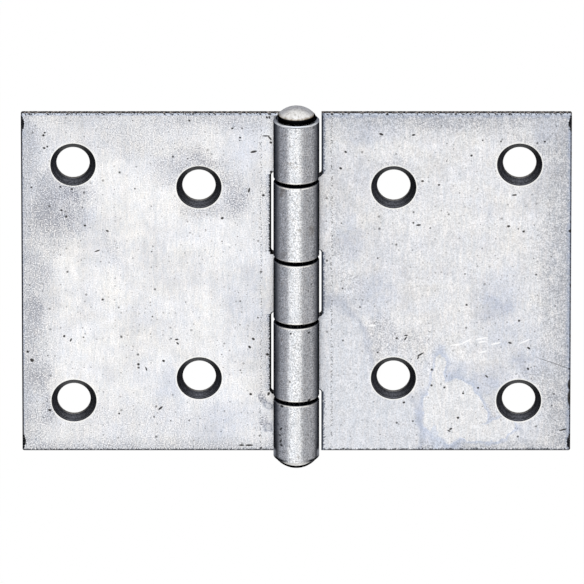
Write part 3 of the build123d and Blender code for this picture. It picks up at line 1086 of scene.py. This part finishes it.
# White paper, matt; the camera and the steel see it as an even white, and it still takes the hinge's shadow.
paper, paper_tree, paper_output = new_material("white_paper")
paper_light = add(paper_tree, "LightPath")
seen = add(
    paper_tree,
    "Math",
    {0: paper_light.outputs["Is Camera Ray"], 1: paper_light.outputs["Is Glossy Ray"]},
    operation="MAXIMUM",
)
seen = add(
    paper_tree, "Math", {0: seen, 1: paper_light.outputs["Is Transmission Ray"]}, operation="MAXIMUM"
)
seen_share = add(paper_tree, "Math", {0: seen, 1: PAPER_GLOW}, operation="MULTIPLY")
paper_diffuse = add(paper_tree, "BsdfDiffuse", {"Color": linear(PAPER_WHITE)})
paper_glow = add(paper_tree, "Emission", {"Color": linear(ROOM_WHITE), "Strength": 1.0})
paper_mix = add(paper_tree, "MixShader", {0: seen_share, 1: paper_diffuse, 2: paper_glow})
paper_tree.links.new(paper_mix.outputs[0], paper_output.inputs["Surface"])
floor.data.materials.append(paper)

CARDS = [  # name, where its lower edge starts and ends along X and Y, level of its top, grey
    ("right_card", (0.25, -0.47), (0.25, 0.08), 0.30, "#B8B8BB"),
    ("left_card", (-0.25, -0.29), (-0.25, 0.08), 0.30, "#B4B4B8"),
    ("right_flag", (0.25, 0.08), (0.25, 0.22), 0.05, "#66666A"),
    ("left_flag", (-0.25, 0.08), (-0.25, 0.22), 0.05, "#66666A"),
    ("back_card", (-0.6, 0.5), (0.6, 0.5), 0.70, "#A0A2AA"),
]
for card_name, start, end, top, grey in CARDS:
    bpy.ops.object.select_all(action="DESELECT")
    bpy.ops.mesh.primitive_plane_add(size=1)
    card = bpy.context.object
    card.name = card_name
    low = lowest - FLOOR_DROP + CARD_ABOVE_FLOOR
    corners = [(*start, low), (*end, low), (*start, top), (*end, top)]
    for vertex, corner in zip(card.data.vertices, corners):
        vertex.co = corner
    card_material, card_tree, card_output = new_material(card_name + "_paper")
    card_glow = add(card_tree, "Emission", {"Color": linear(grey), "Strength": 1.0})
    card_tree.links.new(card_glow.outputs[0], card_output.inputs["Surface"])
    card.data.materials.append(card_material)
    card.visible_camera = False
    card.visible_diffuse = False
    card.visible_shadow = False
    card.visible_transmission = False

LAMPS = [  # name, place in metres, width and height, radiance, colour
    ("front_lamp", (-0.155, -0.727, -0.294), 0.85, 0.34, 0.30, "#FFFFFF"),
    ("overhead_lamp", (0.0, -0.34, 0.83), 0.5, 0.5, 0.30, "#E6EEFF"),
]
for lamp_name, spot, width, height, radiance, colour in LAMPS:
    lamp_data = bpy.data.lights.new(lamp_name, "AREA")
    lamp_data.shape = "RECTANGLE"
    lamp_data.size = width
    lamp_data.size_y = height
    lamp_data.energy = radiance * math.pi * width * height
    lamp_data.color = linear(colour)[:3]
    lamp = bpy.data.objects.new(lamp_name, lamp_data)
    bpy.context.scene.collection.objects.link(lamp)
    lamp.location = spot
    lamp.rotation_euler = Vector(spot).to_track_quat("Z", "Y").to_euler()
    lamp.visible_camera = False

world = bpy.data.worlds.new("white_room")
bpy.context.scene.world = world
world.use_nodes = True
world.node_tree.nodes.clear()
room_output = add(world.node_tree, "OutputWorld")
room = add(world.node_tree, "Background", {"Color": linear(ROOM_WHITE), "Strength": 1.0})
world.node_tree.links.new(room.outputs[0], room_output.inputs["Surface"])

# Camera
# A long lens straight ahead of the knuckles and above them, which looks down on the leaves' fronts.
CAMERA_ELEVATION = 21.6
LENS = 1200.0
PIXEL_MM = 0.1656
FRAME_PIXELS = 584
LEAF_CENTRE_PIXEL = (296.35, 282.9)
LEAF_FRONT = 0.0023  # metres behind the pin's axis
SENSOR_WIDTH = 36.0

camera_data = bpy.data.cameras.new("camera")
camera_data.lens = LENS
camera_data.sensor_width = SENSOR_WIDTH
camera = bpy.data.objects.new("camera", camera_data)
bpy.context.scene.collection.objects.link(camera)
bpy.context.scene.camera = camera
tilt = math.radians(CAMERA_ELEVATION)
back = Vector((0, -math.cos(tilt), math.sin(tilt)))
up = Vector((0, math.sin(tilt), math.cos(tilt)))
pixel = PIXEL_MM / 1000
off_right = (FRAME_PIXELS / 2 - LEAF_CENTRE_PIXEL[0]) * pixel
off_up = (LEAF_CENTRE_PIXEL[1] - FRAME_PIXELS / 2) * pixel
aim = Vector((off_right, LEAF_FRONT, 0)) + up * off_up
distance = FRAME_PIXELS * pixel * LENS / SENSOR_WIDTH
camera.location = aim + back * distance
camera.rotation_euler = (math.pi / 2 - tilt, 0, 0)
camera_data.clip_end = 2 * distance

bpy.context.scene.view_settings.view_transform = "Standard"
